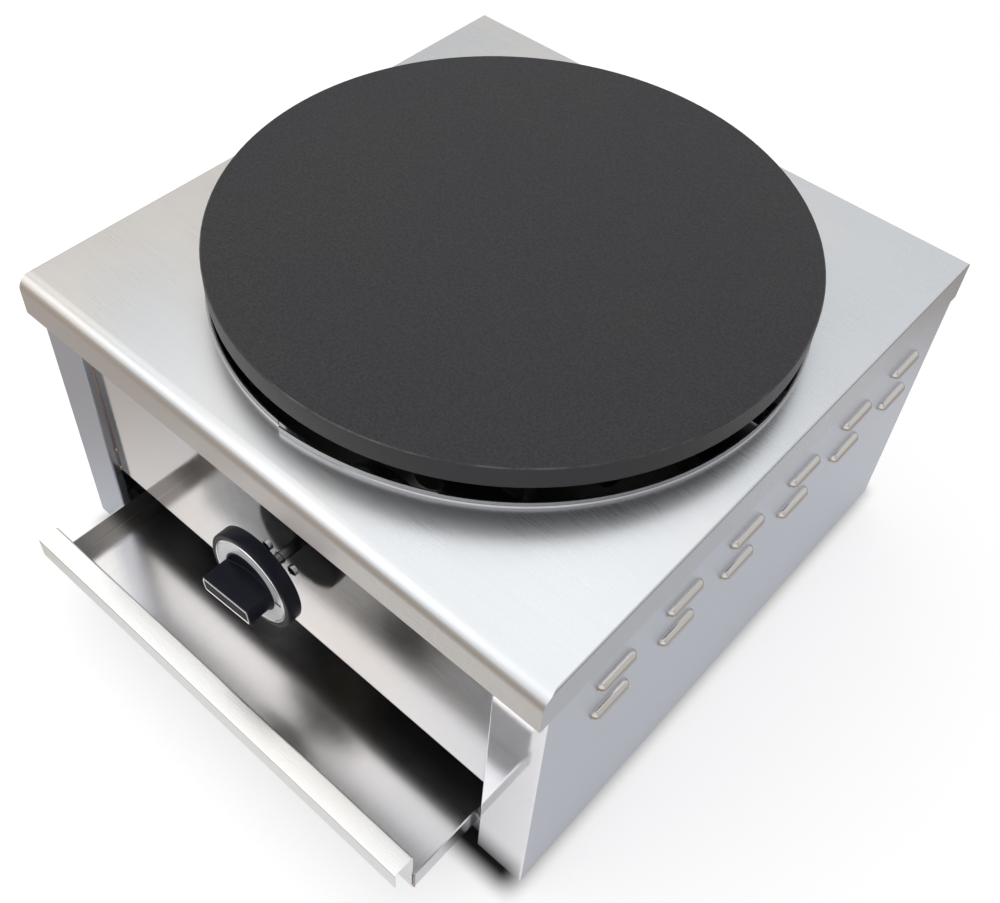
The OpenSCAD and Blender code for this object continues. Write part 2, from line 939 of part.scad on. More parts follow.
module tube_run(shrink, front_y0, rear_y0) {
    facing_back(0, 0, tap_z) rotate_extrude() tube_outline(shrink, front_y0, rear_y0);
}

module tube_elbow(r) {
    translate([0, plate_y - elbow_r, tap_z + elbow_r]) {
        rotate([90, 0, 90]) rotate([0, 0, -90]) rotate_extrude(angle = 90) translate([elbow_r, 0]) circle(r);
    }
}

module tube_riser(r, over) {
    low = tap_z + elbow_r;
    translate([0, plate_y, low]) cylinder(r = r, h = hub_z + tube_grip - low + over);
}

// Calls its children at each air window, with X pointing out of the mouth
module at_windows() {
    for (i = [0 : window_count - 1]) {
        facing_back(0, window_y, tap_z) rotate(i * 360 / window_count + 90) children();
    }
}

module window_cut(depth) {
    translate([0, -window_w / 2, -window_len / 2]) cube([depth, window_w, window_len]);
}

module mixing_tube() {
    run_end = plate_y - elbow_r;
    color(alloy) {
        difference() {
            union() {
                tube_run(0, mouth_y, run_end);
                tube_elbow(tube_r);
                tube_riser(tube_r, 0);
            }
            tube_run(tube_wall, mouth_y + mouth_plate_t, run_end);
            tube_elbow(tube_r - tube_wall);
            tube_riser(tube_r - tube_wall, past);
            facing_back(0, mouth_y - past, tap_z) {
                cylinder(d = injector_nose_d + 2 * slip, h = mouth_plate_t + 2 * past);
            }
            at_windows() window_cut(mouth_d);
        }
    }
}

module air_shutter() {
    inner_d = mouth_d + 2 * running_play;
    outer_d = inner_d + 2 * shutter_t;
    tab_y = window_y + shutter_len / 2 - shutter_t;
    color(alloy) {
        difference() {
            union() {
                facing_back(0, window_y - shutter_len / 2, tap_z) ring(outer_d, inner_d, shutter_len);
                translate([-shutter_tab / 2, tab_y, tap_z - inner_d / 2 - shutter_tab_l]) {
                    cube([shutter_tab, shutter_t, shutter_tab_l]);
                }
            }
            at_windows() window_cut(mouth_d);
            facing_back(0, window_y - shutter_len, tap_z) cylinder(d = inner_d, h = 2 * shutter_len);
        }
    }
}

module injector() {
    tip_y = mouth_y + mouth_plate_t;
    tip_l = injector_nose_l - mouth_plate_t;
    color(brass) {
        difference() {
            union() {
                facing_back(0, tap_end_y, tap_z) hex_prism(injector_flats, injector_hex_l);
                facing_back(0, tap_end_y - injector_thread_l, tap_z) {
                    cylinder(d = outlet_d, h = injector_thread_l + past);
                }
                facing_back(0, mouth_y - past, tap_z) cylinder(d = injector_nose_d, h = mouth_plate_t + past);
                facing_back(0, tip_y, tap_z) {
                    cylinder(d1 = injector_nose_d, d2 = injector_nose_d / 2, h = tip_l);
                }
            }
            facing_back(0, tap_end_y - injector_thread_l - past, tap_z) {
                cylinder(d = gas_way_d / 2, h = injector_thread_l + injector_hex_l + past);
            }
            facing_back(0, tap_end_y, tap_z) {
                cylinder(d = jet_d, h = injector_hex_l + injector_nose_l + past, $fn = 24);
            }
        }
    }
}

// Gas tap

// Calls its children at each tap screw, with Z pointing back from the given depth
module at_tap_screws(y) {
    for (side = [-1, 1]) {
        facing_back(0, y, tap_z) rotate(tap_slant) translate([side * tap_screw_gap / 2, 0, 0]) children();
    }
}

// Flange plate across the tap's axis, from the given depth back
module tap_flange(y) {
    facing_back(0, y, tap_z) {
        rotate(tap_slant) {
            linear_extrude(tap_flange_t) square([tap_flange_w, tap_flange_h], center = true);
        }
    }
}

module tap_bonnet() {
    color(brass) {
        difference() {
            tap_flange(bonnet_y);
            facing_back(0, bonnet_y - past, tap_z) {
                cylinder(d = stem_d + 2 * running_play, h = tap_flange_t + 2 * past);
            }
            at_tap_screws(bonnet_y - past) {
                cylinder(d = small_screw_d + hole_play, h = tap_flange_t + 2 * past);
            }
        }
    }
}

module tap_body() {
    color(brass) {
        difference() {
            union() {
                tap_flange(tap_y);
                facing_back(0, tap_y, tap_z) cylinder(d = tap_d, h = tap_len);
                translate([0, port_y, tap_z]) rotate([0, 90, 0]) cylinder(d = boss_d, h = boss_reach);
            }
            facing_back(0, tap_y - past, tap_z) cylinder(d = chamber_d, h = chamber_len + past);
            facing_back(0, plug_y, tap_z) cylinder(d1 = plug_d, d2 = plug_tip_d, h = plug_len);
            facing_back(0, plug_y, tap_z) cylinder(d = outlet_d, h = tap_len);
            translate([0, port_y, tap_z]) rotate([0, 90, 0]) cylinder(d = gas_way_d, h = boss_reach + past);
            translate([pipe_start_x, port_y, tap_z]) {
                rotate([0, 90, 0]) cylinder(d = pipe_d, h = pipe_seat + past);
            }
            at_tap_screws(tap_y - past) cylinder(d = small_screw_d, h = tap_screw_l);
        }
    }
}

module tap_plug() {
    shrink = 2 * running_play;
    color(brass) {
        difference() {
            facing_back(0, plug_y + plug_end_gap, tap_z) {
                cylinder(d1 = plug_d - shrink, d2 = plug_tip_d - shrink, h = plug_len - 2 * plug_end_gap);
            }
            translate([-plug_d, plug_y - past, tap_z - tongue_t / 2 - running_play]) {
                cube([2 * plug_d, slot_depth + past, tongue_t + 2 * running_play]);
            }
            facing_back(0, plug_y + slot_depth + past, tap_z) cylinder(d = plug_way_d, h = plug_len);
            translate([0, port_y, tap_z]) cylinder(d = plug_way_d, h = plug_d);
        }
    }
}

module tap_stem() {
    front = knob_y - stem_grip;
    color(chrome) {
        difference() {
            facing_back(0, front, tap_z) cylinder(d = stem_d, h = tongue_y - front);
            translate([-stem_d, front - past, tap_z + stem_flat]) {
                cube([2 * stem_d, stem_grip + past, stem_d]);
            }
        }
        facing_back(0, stem_collar_y, tap_z) cylinder(r = stem_collar_r, h = stem_collar_t);
        translate([-tongue_w / 2, tongue_y - past, tap_z - tongue_t / 2]) {
            cube([tongue_w, tongue_len + past, tongue_t]);
        }
    }
}

// Helix of round wire along +Z: one closed skin of rings joined end to end
function spring_point(a, s, r, rise) =
    let (out = r + spring_wire / 2 * cos(s))
    [out * cos(a), out * sin(a), rise * a / 360 + spring_wire / 2 * sin(s)];

module spring_coil(r, length) {
    sides = 6;
    steps = ceil(spring_turns * 16);
    rise = (length - spring_wire) / spring_turns;
    points = [
        for (i = [0 : steps], j = [0 : sides - 1])
            spring_point(i * spring_turns * 360 / steps, j * 360 / sides, r, rise)
    ];
    walls = [
        for (i = [0 : steps - 1], j = [0 : sides - 1])
            let (a = i * sides + j, b = i * sides + (j + 1) % sides)
            each [[a, b, b + sides], [a, b + sides, a + sides]]
    ];
    first_end = [for (j = [1 : sides - 2]) [0, j + 1, j]];
    far = steps * sides;
    last_end = [for (j = [1 : sides - 2]) [far, far + j, far + j + 1]];
    translate([0, 0, spring_wire / 2]) polyhedron(points, concat(walls, first_end, last_end));
}

module tap_spring() {
    coil_r = stem_collar_r - spring_wire / 2;
    length = plug_y - tongue_y - 2 * plug_end_gap;
    color(dull_steel) facing_back(0, tongue_y + plug_end_gap, tap_z) spring_coil(coil_r, length);
}

module tap_screws() {
    color(chrome) {
        at_tap_screws(panel_y) {
            mirror([0, 0, 1]) pan_screw(small_screw_d, tap_screw_l, small_head_d, small_head_h);
        }
    }
}

// Gas supply

module pipe_bar(d) {
    bend_x = inlet_x - pipe_bend_r;
    bend_y = port_y + pipe_bend_r;
    translate([bend_x, bend_y, tap_z]) {
        translate([0, -pipe_bend_r, 0]) rotate([0, -90, 0]) cylinder(d = d, h = bend_x - pipe_start_x);
        rotate(-90) rotate_extrude(angle = 90) translate([pipe_bend_r, 0]) circle(d = d);
        translate([pipe_bend_r, 0, 0]) rotate([-90, 0, 0]) cylinder(d = d, h = pipe_end_y - bend_y);
    }
}

module supply_pipe() {
    color(alloy) {
        difference() {
            pipe_bar(pipe_d);
            pipe_bar(pipe_d - 2 * pipe_wall);
        }
    }
}

module pipe_nuts() {
    color(brass) {
        translate([boss_reach, port_y, tap_z]) {
            rotate([0, 90, 0]) hex_nut(pipe_nut_flats, pipe_d + 2 * slip, pipe_nut_t);
        }
        facing_front(inlet_x, inlet_boss_y, tap_z) hex_nut(pipe_nut_flats, pipe_d + 2 * slip, pipe_nut_t);
    }
}

module inlet_connector() {
    color(brass) {
        difference() {
            union() {
                facing_back(inlet_x, inlet_boss_y, tap_z) cylinder(d = boss_d, h = inlet_boss_l + past);
                facing_back(inlet_x, inlet_in_y, tap_z) hex_prism(inlet_flats, inlet_hex_t);
                facing_back(inlet_x, rear_in_y, tap_z) cylinder(d = neck_d, h = neck_l);
                facing_back(inlet_x, free_thread_y, tap_z) cylinder(d = inlet_d, h = inlet_len);
            }
            facing_back(inlet_x, inlet_boss_y - past, tap_z) cylinder(d = pipe_d, h = pipe_seat + past);
            facing_back(inlet_x, inlet_boss_y, tap_z) {
                cylinder(d = gas_way_d, h = inlet_boss_l + inlet_hex_t + neck_l + inlet_len + past);
            }
        }
    }
}

module inlet_locknut() {
    color(brass) facing_back(inlet_x, rear_y, tap_z) hex_nut(inlet_flats, neck_d + slip, locknut_t);
}

// Knob

// Knob frame: Z points forward from the knob's back and the grip lies along X
module knob_frame() {
    facing_front(0, knob_y, tap_z) rotate(knob_turn) children();
}

// Grip outline: the circle of the knob's middle cut to the grip's thickness
module grip_outline(margin) {
    intersection() {
        circle(middle_r - margin);
        square([middle_d, grip_t - 2 * margin], center = true);
    }
}

module knob_body() {
    bezel_r = dial_d / 2 + bezel_w;
    color(black_plastic) {
        knob_frame() {
            difference() {
                union() {
                    difference() {
                        rotate_extrude() {
                            difference() {
                                square([knob_r, knob_t]);
                                translate([knob_r, knob_t]) mirror([1, 0]) corner_waste(knob_round);
                                translate([middle_r, dial_floor]) square([bezel_r - middle_r, knob_t]);
                            }
                        }
                        translate([0, 0, knob_t - dish_h + dish_ball_r]) sphere(dish_ball_r);
                    }
                    linear_extrude(grip_end - end_plate_t) grip_outline(0);
                    translate([0, 0, grip_end - end_plate_t]) {
                        linear_extrude(end_plate_t) {
                            difference() {
                                grip_outline(0);
                                grip_outline(end_plate_margin);
                            }
                        }
                    }
                }
                difference() {
                    translate([0, 0, -past]) cylinder(d = stem_d + 2 * slip, h = stem_grip + past + slip);
                    rotate(-knob_turn) {
                        translate([-stem_d, stem_flat + slip, -2 * past]) {
                            cube([2 * stem_d, stem_d, stem_grip + 4 * past]);
                        }
                    }
                }
            }
        }
    }
}

module dial_ring() {
    color(dial_silver) knob_frame() translate([0, 0, dial_floor]) ring(dial_d, middle_d, dial_t);
}

module dial_bezel() {
    bezel_h = knob_t + bezel_out - dial_floor;
    color(chrome) knob_frame() translate([0, 0, dial_floor]) ring(dial_d + 2 * bezel_w, dial_d, bezel_h);
}

module knob_end_plate() {
    color(dial_silver) {
        knob_frame() {
            translate([0, 0, grip_end - end_plate_t]) {
                linear_extrude(end_plate_t) grip_outline(end_plate_margin);
            }
        }
    }
}

// Drawer

module drawer_tray() {
    wall_h = drawer_wall_h + sheet;
    color(steel) {
        along_y(tray_y, tray_y + drawer_d) {
            translate([-drawer_half_w, tray_z + wall_h]) {
                rotate(-90) folded([wall_h, 2 * drawer_half_w, wall_h]);
            }
        }
        translate([sheet / 2 - drawer_half_w, tray_y + drawer_d - sheet, tray_z + sheet / 2]) {
            cube([2 * drawer_half_w - sheet, sheet, wall_h - sheet / 2]);
        }
    }
}

module drawer_front() {
    color(steel) {
        along_x(2 * drawer_half_w - drawer_front_less) {
            translate([tray_y, tray_z]) rotate(90) folded([drawer_front_h, lip_d, lip_drop]);
        }
    }
}

top_cover();
left_side_panel();
right_side_panel();
front_panel();
back_panel();
back_screws();
front_rail();
rear_rail();
left_runner();
right_runner();
foot(-1, -1);  // foot_front_left
foot(1, -1);  // foot_front_right
foot(-1, 1);  // foot_rear_left
foot(1, 1);  // foot_rear_right
foot_screws();
foot_nuts();
cross_bar(-1);  // front_cross_bar
cross_bar(1);  // rear_cross_bar
burner_drum();
drum_strap();
pillar(-1, -1);  // pillar_front_left
pillar(1, -1);  // pillar_front_right
pillar(-1, 1);  // pillar_rear_left
pillar(1, 1);  // pillar_rear_right
pillar_nuts();
cooking_plate();
burner_hub();
burner_arms();
burner_bracket();
burner_bolts();
mixing_tube();
air_shutter();
injector();
tap_body();
tap_bonnet();
tap_plug();
tap_spring();
tap_stem();
tap_screws();
supply_pipe();
pipe_nuts();
inlet_connector();
inlet_locknut();
knob_body();
dial_ring();
dial_bezel();
knob_end_plate();
drawer_tray();
drawer_front();
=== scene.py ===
import math

import bmesh
import bpy
from mathutils import Matrix, Vector


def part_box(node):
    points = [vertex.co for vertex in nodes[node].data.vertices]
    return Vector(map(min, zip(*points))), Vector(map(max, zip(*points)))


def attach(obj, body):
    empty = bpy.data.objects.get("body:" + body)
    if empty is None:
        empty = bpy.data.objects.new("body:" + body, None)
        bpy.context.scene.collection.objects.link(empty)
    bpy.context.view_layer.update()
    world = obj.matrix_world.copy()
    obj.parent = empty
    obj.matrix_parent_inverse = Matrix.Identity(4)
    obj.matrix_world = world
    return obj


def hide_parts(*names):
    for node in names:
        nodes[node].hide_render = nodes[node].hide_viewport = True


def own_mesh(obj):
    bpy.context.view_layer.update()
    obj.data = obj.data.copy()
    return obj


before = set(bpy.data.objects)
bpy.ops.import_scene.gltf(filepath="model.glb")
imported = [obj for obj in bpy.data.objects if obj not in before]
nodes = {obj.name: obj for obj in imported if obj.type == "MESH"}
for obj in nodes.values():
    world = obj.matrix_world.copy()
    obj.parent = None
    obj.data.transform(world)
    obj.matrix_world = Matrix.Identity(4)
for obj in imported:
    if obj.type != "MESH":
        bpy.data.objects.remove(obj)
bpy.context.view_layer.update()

# Places of the CAD pieces, in metres
plate_low, plate_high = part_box("cooking_plate")
PLATE_Y = (plate_low[1] + plate_high[1]) / 2.0
PLATE_TOP = plate_high[2]
PLATE_R = plate_high[0]
knob_low, knob_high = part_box("knob_body")
TAP_Z = (knob_low[2] + knob_high[2]) / 2.0
KNOB_BACK = knob_high[1]
inlet_low, inlet_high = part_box("inlet_connector")
INLET_X = (inlet_low[0] + inlet_high[0]) / 2.0
COVER_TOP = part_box("top_cover")[1][2]
DRUM_R, _, COLLAR_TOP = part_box("burner_drum")[1]

# How far the louvres stand out of the side panels, and those panels' flat outer face
LOUVRE_OUT = 0.0046
SIDE_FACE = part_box("right_side_panel")[1][0] - LOUVRE_OUT

# The knob's turn at rest, and a millimetre in metres
KNOB_TURN = math.radians(6.0)
MM = 0.001

# From the knob's own frame, in millimetres with Z out of the panel and X along the grip
KNOB_FRAME = (Matrix.Translation((0.0, KNOB_BACK, TAP_Z)) @ Matrix.Rotation(math.radians(90.0), 4, "X")
              @ Matrix.Rotation(KNOB_TURN, 4, "Z") @ Matrix.Scale(MM, 4))


# Shader values

class Value:
    """A shader socket that can stand in a Python expression."""

    def __init__(self, finish, socket):
        self.finish = finish
        self.socket = socket

    def _math(self, operation, first, second=0.0):
        return self.finish.node("ShaderNodeMath", {"operation": operation}, {0: first, 1: second})

    def __add__(self, other):
        return self._math("ADD", self, other)

    def __radd__(self, other):
        return self._math("ADD", other, self)

    def __sub__(self, other):
        return self._math("SUBTRACT", self, other)

    def __rsub__(self, other):
        return self._math("SUBTRACT", other, self)

    def __mul__(self, other):
        return self._math("MULTIPLY", self, other)

    def __rmul__(self, other):
        return self._math("MULTIPLY", other, self)

    def __truediv__(self, other):
        return self._math("DIVIDE", self, other)

    def __rtruediv__(self, other):
        return self._math("DIVIDE", other, self)

    def __pow__(self, other):
        return self._math("POWER", self, other)

    def __abs__(self):
        return self._math("ABSOLUTE", self)

    def sine(self):
        return self._math("SINE", self)

    def angle_over(self, other):
        return self._math("ARCTAN2", self, other)

    def at_most(self, other):
        return self._math("MINIMUM", self, other)


class Finish:
    """A node tree with one method that adds any node."""

    def __init__(self, tree):
        self.tree = tree
        tree.nodes.clear()

    def node(self, kind, settings, sockets, output=0):
        node = self.tree.nodes.new(kind)
        for name, value in settings.items():
            setattr(node, name, value)
        for name, value in sockets.items():
            if isinstance(value, Value):
                self.tree.links.new(value.socket, node.inputs[name])
            else:
                node.inputs[name].default_value = value
        return Value(self, node.outputs[output]) if node.outputs else None

    def place(self, scale=(1, 1, 1), turn=(0, 0, 0)):
        """Object coordinates, scaled and then turned."""
        here = self.node("ShaderNodeTexCoord", {}, {}, "Object")
        return self.node("ShaderNodeMapping", {}, {"Vector": here, "Scale": scale, "Rotation": turn})

    def split(self, vector):
        """The three numbers of a vector."""
        return [self.node("ShaderNodeSeparateXYZ", {}, {0: vector}, axis) for axis in range(3)]

    def axes(self):
        """Object coordinates, as three numbers."""
        return self.split(self.node("ShaderNodeTexCoord", {}, {}, "Object"))

    def facing(self):
        """The way that the surface looks, as three numbers."""
        return self.split(self.node("ShaderNodeTexCoord", {}, {}, "Normal"))

    def joined(self, first, second, third):
        """A vector from three numbers."""
        return self.node("ShaderNodeCombineXYZ", {}, {0: first, 1: second, 2: third})

    def noise(self, vector, scale=1.0, detail=3.0, roughness=0.5):
        return self.node("ShaderNodeTexNoise", {}, {"Vector": vector, "Scale": scale, "Detail": detail,
                                                    "Roughness": roughness})

    def specks(self, scale):
        """Distance from the nearest of many scattered points."""
        return self.node("ShaderNodeTexVoronoi", {}, {"Vector": self.place(), "Scale": scale})

    def rise(self, value, low, high):
        """A smooth step from 0 at low to 1 at high."""
        return self.node("ShaderNodeMapRange", {"interpolation_type": "SMOOTHSTEP"},
                         {"Value": value, "From Min": low, "From Max": high})

    def tint(self, share, first, second):
        """A colour between two colours."""
        return self.node("ShaderNodeMix", {"data_type": "RGBA"}, {0: share, 6: first, 7: second}, 2)

    def pick(self, share, first, second):
        """A vector between two vectors."""
        return self.node("ShaderNodeMix", {"data_type": "VECTOR"}, {0: share, 4: first, 5: second}, 1)

    def bump(self, height, distance, strength):
        return self.node("ShaderNodeBump", {}, {"Height": height, "Distance": distance, "Strength": strength})

    def rays(self):
        """Whether a ray comes from the camera, through glass or off a mirror."""
        return [self.node("ShaderNodeLightPath", {}, {}, f"Is {kind} Ray")
                for kind in ("Camera", "Transmission", "Glossy")]

    def surface(self, sockets):
        """Ends the tree with one shader."""
        shader = self.node("ShaderNodeBsdfPrincipled", {}, sockets)
        self.node("ShaderNodeOutputMaterial", {}, {"Surface": shader})


def new_finish(name):
    """A new material and its empty tree."""
    material = bpy.data.materials.new(name)
    material.use_nodes = True
    return material, Finish(material.node_tree)


def colour(red, green, blue, times=1.0):
    return (red * times, green * times, blue * times, 1.0)


BLACK = colour(0.0, 0.0, 0.0)
WHITE = colour(1.0, 1.0, 1.0)


# Meshes

def piece_from(shell, name, *materials, sharp=35.0):
    """An object with the shell as its mesh, smooth but for edges past an angle in degrees."""
    mesh = bpy.data.meshes.new(name)
    shell.to_mesh(mesh)
    shell.free()
    mesh.shade_smooth()
    mesh.set_sharp_from_angle(angle=math.radians(sharp))
    made = bpy.data.objects.new(name, mesh)
    bpy.context.scene.collection.objects.link(made)
    for material in materials:
        mesh.materials.append(material)
    return made


def turned(profile, closed=False, steps=128):
    """A shape turned round Z from (radius, height) points."""
    shell = bmesh.new()
    line = [shell.verts.new((radius, 0.0, height)) for radius, height in profile]
    for first, second in zip(line, line[1:] + line[:1] if closed else line[1:]):
        shell.edges.new((first, second))
    bmesh.ops.spin(shell, geom=shell.verts[:] + shell.edges[:], cent=(0, 0, 0), axis=(0, 0, 1),
                   angle=2.0 * math.pi, steps=steps, use_merge=True)
    bmesh.ops.remove_doubles(shell, verts=shell.verts, dist=1e-4)
    bmesh.ops.recalc_face_normals(shell, faces=shell.faces)
    return shell


def round_rings(shell, rings, width, segments):
    """Rounds the circular edges at the given (radius, height) places."""
    def on_ring(vert, ring):
        return abs(vert.co.xy.length - ring[0]) < 1e-3 and abs(vert.co.z - ring[1]) < 1e-3

    edges = [edge for edge in shell.edges
             if any(all(on_ring(vert, ring) for vert in edge.verts) for ring in rings)]
    bmesh.ops.bevel(shell, geom=edges, offset=width, offset_type="OFFSET", segments=segments, profile=0.5,
                    affect="EDGES", material=-1)


def bar_outline(radius, thick, height):
    """A flat face: a circle cut to a bar, at a height."""
    shell = bmesh.new()
    bmesh.ops.create_circle(shell, cap_ends=True, segments=64, radius=radius,
                            matrix=Matrix.Translation((0.0, 0.0, height)))
    for side in (-1.0, 1.0):
        geom = shell.verts[:] + shell.edges[:] + shell.faces[:]
        bmesh.ops.bisect_plane(shell, geom=geom, plane_co=(0.0, side * thick / 2.0, 0.0),
                               plane_no=(0.0, side, 0.0), clear_outer=True)
    return shell


def raise_face(shell, face, height):
    """Extrudes one face along Z and returns the face at the end."""
    made = bmesh.ops.extrude_face_region(shell, geom=[face])["geom"]
    bmesh.ops.translate(shell, verts=[item for item in made if isinstance(item, bmesh.types.BMVert)],
                        vec=(0.0, 0.0, height))
    return next(item for item in made if isinstance(item, bmesh.types.BMFace))


def take_in(shell, other):
    """Adds a finished shell to another one."""
    mesh = bpy.data.meshes.new("part")
    other.to_mesh(mesh)
    other.free()
    shell.from_mesh(mesh)
    bpy.data.meshes.remove(mesh)


def melted(shell, voxel, rounds):
    """One skin round overlapping solids, with its edges and creases softened."""
    made = piece_from(shell, "melting")
    skin = made.modifiers.new("skin", "REMESH")
    skin.mode = "VOXEL"
    skin.voxel_size = voxel
    soft = made.modifiers.new("soft", "SMOOTH")
    soft.factor = 0.5
    soft.iterations = rounds
    bpy.context.view_layer.update()
    finished = made.evaluated_get(bpy.context.evaluated_depsgraph_get()).to_mesh()
    result = bmesh.new()
    result.from_mesh(finished)
    bpy.data.objects.remove(made)
    return result


# Camera, floor and light

def photo_camera():
    """The camera's place, turn and lens as solved from the photograph."""
    place = (0.3762, -0.4830, 0.8087)
    turn, dip, roll = math.radians(39.38), math.radians(48.79), math.radians(3.40)
    data = bpy.data.cameras.new("photo_camera")
    data.sensor_width = 36.0
    data.lens = 44.03
    data.shift_x = 0.0258
    data.shift_y = -0.0299
    data.clip_start = 0.05
    camera = bpy.data.objects.new("photo_camera", data)
    bpy.context.scene.collection.objects.link(camera)
    ahead = Vector((-math.sin(turn) * math.cos(dip), math.cos(turn) * math.cos(dip), -math.sin(dip)))
    right = Vector((math.cos(turn), math.sin(turn), 0.0))
    up = right.cross(ahead)
    side = math.cos(roll) * right + math.sin(roll) * up
    top = math.cos(roll) * up - math.sin(roll) * right
    axes = Matrix((side, top, -ahead)).transposed().to_4x4()
    camera.matrix_world = Matrix.Translation(place) @ axes
    bpy.context.scene.camera = camera


def studio_air():
    """White behind the object, and a soft room in its metal: warm and darker low down, lighter
    behind the object and above its front."""
    world = bpy.data.worlds.new("studio")
    bpy.context.scene.world = world
    world.use_nodes = True
    air = Finish(world.node_tree)
    camera_ray, through_ray, mirror_ray = air.rays()
    across, along, up = air.split(air.node("ShaderNodeTexCoord", {}, {}, "Generated"))
    front = air.rise(0.0 - along, 0.2, 0.8)
    low = air.tint(front, colour(0.66, 0.59, 0.52), colour(0.56, 0.48, 0.40))
    room = air.tint(air.rise(up - front * 0.14, -0.12, 0.10), low, colour(0.92, 0.91, 0.91))
    behind = air.rise(along, 0.35, 0.70) * air.rise(across, -0.50, -0.20) * air.rise(up, 0.2, 0.4)
    room = air.tint(behind, room, colour(1.15, 1.16, 1.18))
    above = air.rise(0.0 - along, 0.15, 0.45) * air.rise(up, 0.05, 0.22)
    room = air.tint(above, room, colour(1.40, 1.39, 1.40))
    seen = air.tint((camera_ray + through_ray).at_most(1.0), room, WHITE)
    plain = (camera_ray + through_ray + mirror_ray).at_most(1.0)
    light = air.tint(plain, colour(0.45, 0.45, 0.46), seen)
    backdrop = air.node("ShaderNodeBackground", {}, {"Color": light, "Strength": 1.0})
    air.node("ShaderNodeOutputWorld", {}, {"Surface": backdrop})


def studio_floor():
    """A round pale floor that glows for what the camera and the metal see; under the cabinet it is dark, a
    painted shadow.
    """
    under_side, under_front, under_back = (0.205, 0.230), (0.218, 0.238), (0.232, 0.250)
    mirror_x, mirror_fade = 0.14, (0.38, 0.58)
    shell = bmesh.new()
    bmesh.ops.create_circle(shell, cap_ends=True, segments=96, radius=0.68)
    material, ground = new_finish("studio_floor")
    camera_ray, through_ray, mirror_ray = ground.rays()
    across, along, _ = ground.axes()
    # Under the cabinet's footprint the floor is painted shadow: its matte is near black and its glow is off.
    beside = ground.rise(abs(across), *under_side)
    beyond = ground.rise(0.0 - along, *under_front) + ground.rise(along, *under_back)
    clear = 1.0 - (1.0 - beside) * (1.0 - beyond)
    grey = ground.tint(clear, colour(0.03, 0.03, 0.03), colour(0.60, 0.60, 0.60))
    matte = ground.node("ShaderNodeBsdfDiffuse", {}, {"Color": grey})
    shine = ground.tint(camera_ray, colour(0.55, 0.55, 0.55), colour(0.62, 0.62, 0.62))
    light = ground.tint(clear, BLACK, shine)
    reach = ((across - mirror_x) ** 2.0 + along ** 2.0) ** 0.5
    light = ground.tint(mirror_ray * ground.rise(reach, *mirror_fade), light, colour(0.16, 0.12, 0.09))
    glow = ground.node("ShaderNodeEmission", {}, {"Color": light, "Strength": 1.0})
    bright = ground.node("ShaderNodeAddShader", {}, {0: matte, 1: glow})
    seen = (camera_ray + through_ray + mirror_ray).at_most(1.0)
    both = ground.node("ShaderNodeMixShader", {}, {0: seen, 1: matte, 2: bright})
    ground.node("ShaderNodeOutputMaterial", {}, {"Surface": both})
    piece_from(shell, "floor", material)


def soft_panel(name, place, target, wide, deep, power):
    """A soft rectangular lamp that looks at a target, with its power in watts."""
    data = bpy.data.lights.new(name, "AREA")
    data.shape = "RECTANGLE"
    data.size = wide
    data.size_y = deep
    data.energy = power
    lamp = bpy.data.objects.new(name, data)
    bpy.context.scene.collection.objects.link(lamp)
    lamp.location = place
    lamp.rotation_euler = (Vector(target) - Vector(place)).to_track_quat("-Z", "Y").to_euler()


# Finishes

# Scales of a brushed lay, low along its lines
ALONG_X = (45.0, 1900.0, 1900.0)
ALONG_Y = (2400.0, 40.0, 2400.0)
UPRIGHT = (1900.0, 1900.0, 45.0)


def brushed_sheet(name, warm, cool, roughness, grain, lay=ALONG_X, end_lay=UPRIGHT, ends=None, fronts=None,
                  painted_shade_span=None, shine=1.0):
    """Stainless sheet: a fine brushed lay that turns with the folds, haze, and warm and cool clouds that
    drift warmer to the left as a painted warm reflection.

    ends and fronts are the colours of faces that look along X and Y, on the cover painted shade on its side
    skirts and a painted warm reflection on its front flange; the span given along Y is where a dark, brown,
    dull painted shade begins and is full, and shine is how metallic the sheet is."""
    material, steel = new_finish(name)
    look_x, look_y, _ = steel.facing()
    end = steel.rise(abs(look_x), 0.6, 0.8)
    lay_place = steel.pick(end, steel.place(lay), steel.place(end_lay))
    fine = steel.noise(lay_place, 1.0, 1.0, 0.4)
    broad = steel.noise(lay_place, 0.22, 2.0, 0.5)
    haze = steel.noise(steel.place(), 7.0, 4.0, 0.55)
    across, along, _ = steel.axes()
    # Warm and cool clouds at random, drifting warmer towards the left: the drift is a painted warm
    # reflection.
    warmth = steel.rise(steel.noise(steel.place(), 3.5, 2.0, 0.5) - across * 0.8, 0.38, 0.62)
    tone = steel.tint(warmth, colour(*cool), colour(*warm))
    # Faces along X take the ends colour: on the cover's side skirts a darker bluish grey that is painted
    # shade.
    if ends:
        tone = steel.tint(end, tone, colour(*ends))
    # Faces along Y take the fronts colour: on the cover's front flange a darker warm tone, a painted warm
    # reflection.
    if fronts:
        tone = steel.tint(steel.rise(abs(look_y), 0.85, 0.97), tone, colour(*fronts))
    shade = (fine - 0.5) * 0.4 + (broad - 0.5) * 0.4 + (haze - 0.5) * 0.6
    tone = steel.tint(0.5 + shade, steel.tint(0.88, BLACK, tone), tone)
    spread = roughness * (1.0 + (fine - 0.5) * 0.35 + (haze - 0.5) * 0.5)
    # Towards the back, inside the cabinet, the sheet turns dark, brown, dull and rough: painted shade.
    if painted_shade_span:
        film_and_shade = steel.rise(along + (haze - 0.5) * 0.05, *painted_shade_span)
        tone = steel.tint(film_and_shade * 0.8, tone, colour(0.10, 0.085, 0.07))
        spread = spread + film_and_shade * 0.35
    normal = steel.bump(fine, 0.0001 * grain, 1.0)
    steel.surface({"Base Color": tone, "Metallic": shine, "Roughness": spread, "Normal": normal})
    return material


